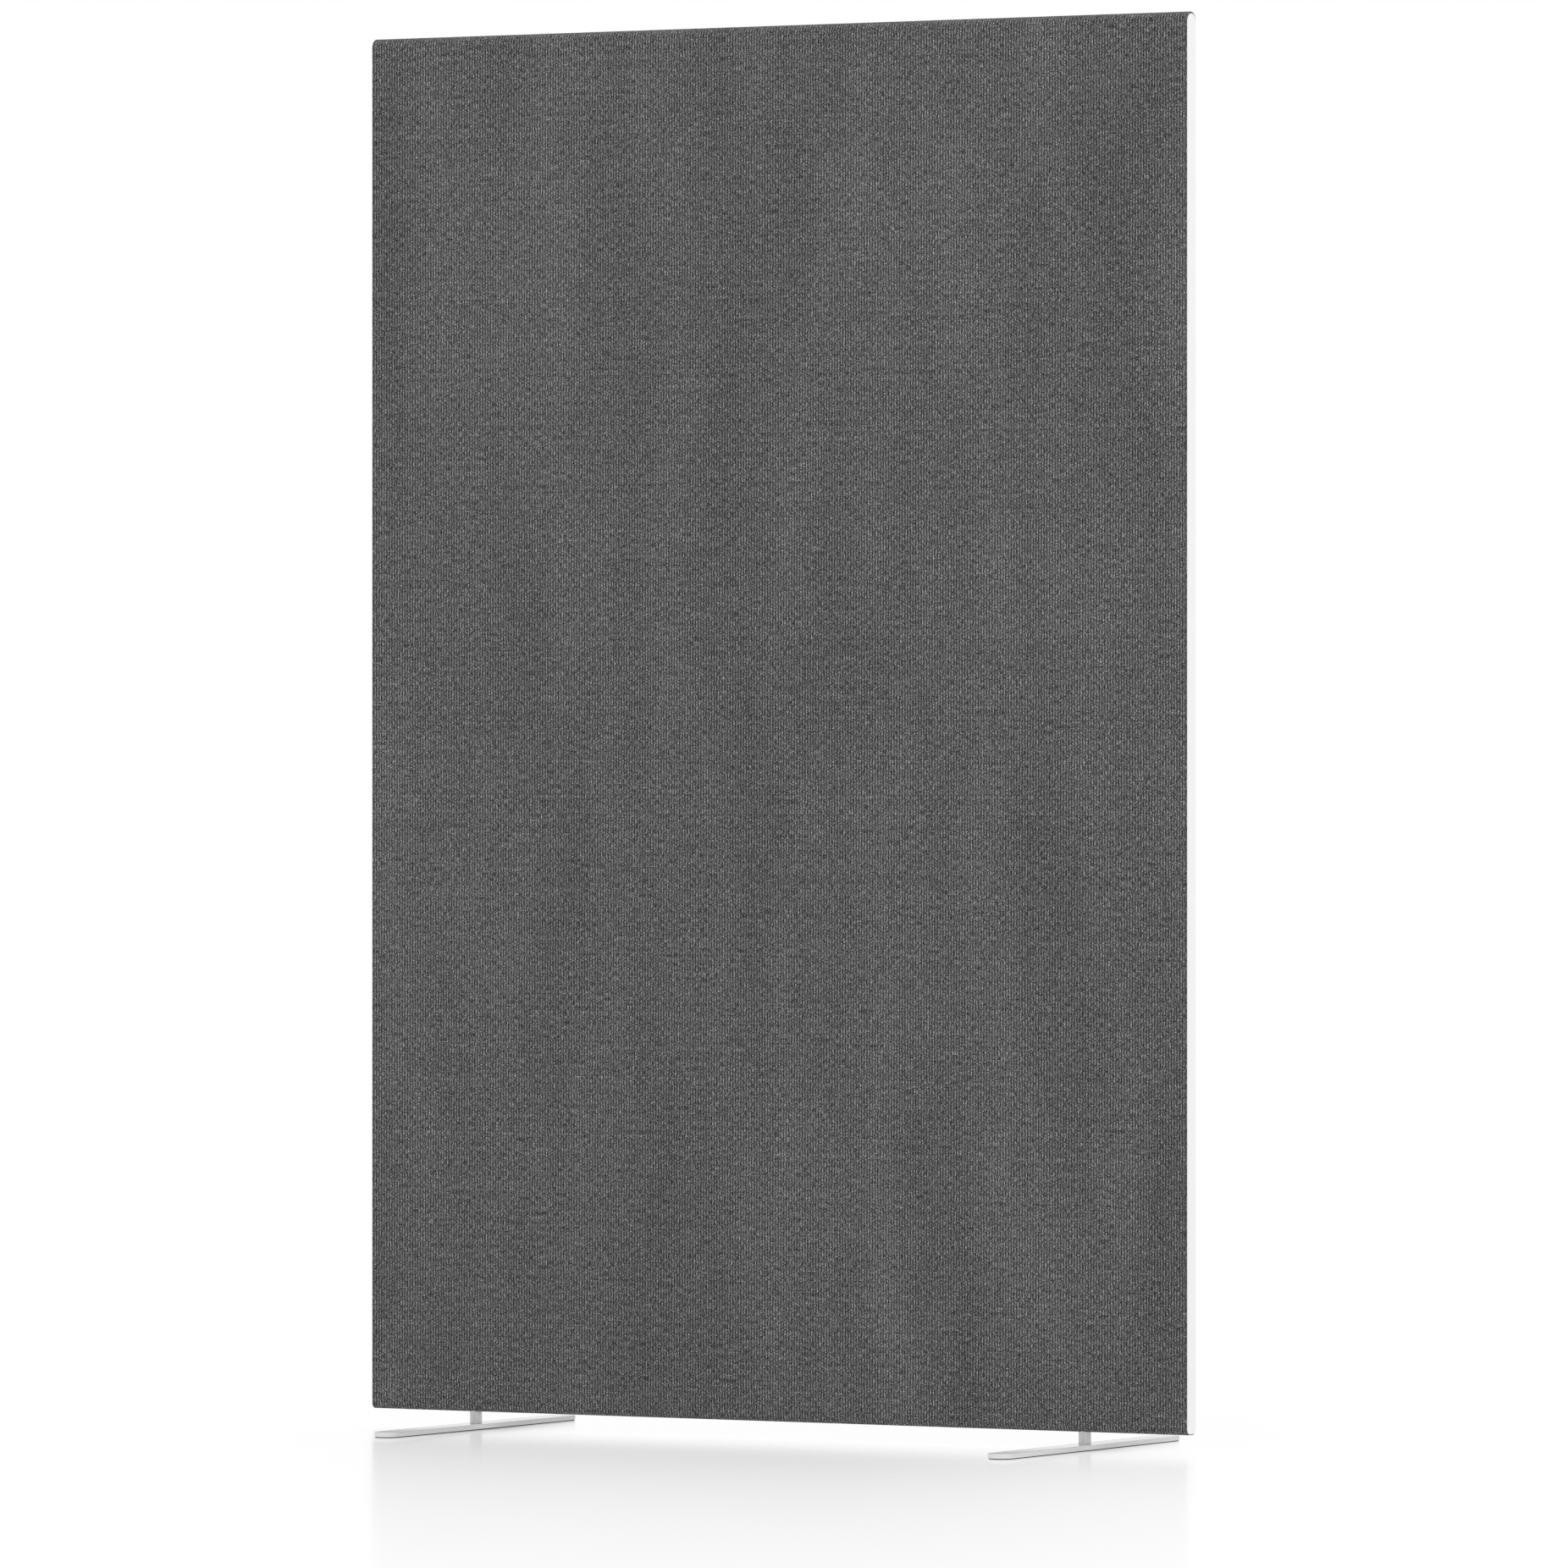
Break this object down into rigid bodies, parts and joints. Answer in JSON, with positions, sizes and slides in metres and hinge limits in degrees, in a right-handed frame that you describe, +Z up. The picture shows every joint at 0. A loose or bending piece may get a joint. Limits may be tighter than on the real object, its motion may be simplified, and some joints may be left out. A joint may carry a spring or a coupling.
{
  "type": "acoustic divider screen",
  "caption": "Upright fabric-covered acoustic divider panel with rounded edges and slim end strips, standing on two flat foot bars that swivel under it.",
  "frame": {"origin": "on the floor, at the centre of the part's footprint", "axes": "+Z up, +X along the panel's width to the right seen from the front, front towards -Y"},
  "size_m": [1, 0.388, 1.5],
  "materials": {
    "cover_fabric": "melange woven wool, matt",
    "fleece": "matt",
    "absorber": "pressed fibre, matt",
    "timber": "planed",
    "tenon_timber": "smooth",
    "strip_plastic": "satin white",
    "foot_paint": "satin white powder coat",
    "pad_rubber": "matt",
    "zinc_steel": "zinc plated"
  },
  "bodies": {
    "panel": {"fabric_cover": "cover_fabric", "fleece_sleeve": "fleece", "absorber_lower": "absorber", "absorber_upper": "absorber", "stile_left": "timber", "stile_right": "timber", "top_rail": "timber", "middle_rail": "timber", "bottom_rail": "timber", "loose_tenons": "tenon_timber", "end_strip_left": "strip_plastic", "end_strip_right": "strip_plastic", "spacer_sleeve_left": "foot_paint", "spacer_sleeve_right": "foot_paint", "foot_bolt_left": "zinc_steel", "foot_bolt_right": "zinc_steel", "threaded_insert_left": "zinc_steel", "threaded_insert_right": "zinc_steel"},
    "foot_left": {"foot_plate_left": "foot_paint", "foot_pad_left": "pad_rubber"},
    "foot_right": {"foot_plate_right": "foot_paint", "foot_pad_right": "pad_rubber"}
  },
  "joints": [
    {"name": "foot_left_swivel", "type": "hinge", "parent": "panel", "child": "foot_left", "pos_m": [-0.3735, 0, 0], "axis": [0, 0, 1], "range_deg": [-90, 90]},
    {"name": "foot_right_swivel", "type": "hinge", "parent": "panel", "child": "foot_right", "pos_m": [0.3735, 0, 0], "axis": [0, 0, 1], "range_deg": [-90, 90]}
  ]
}
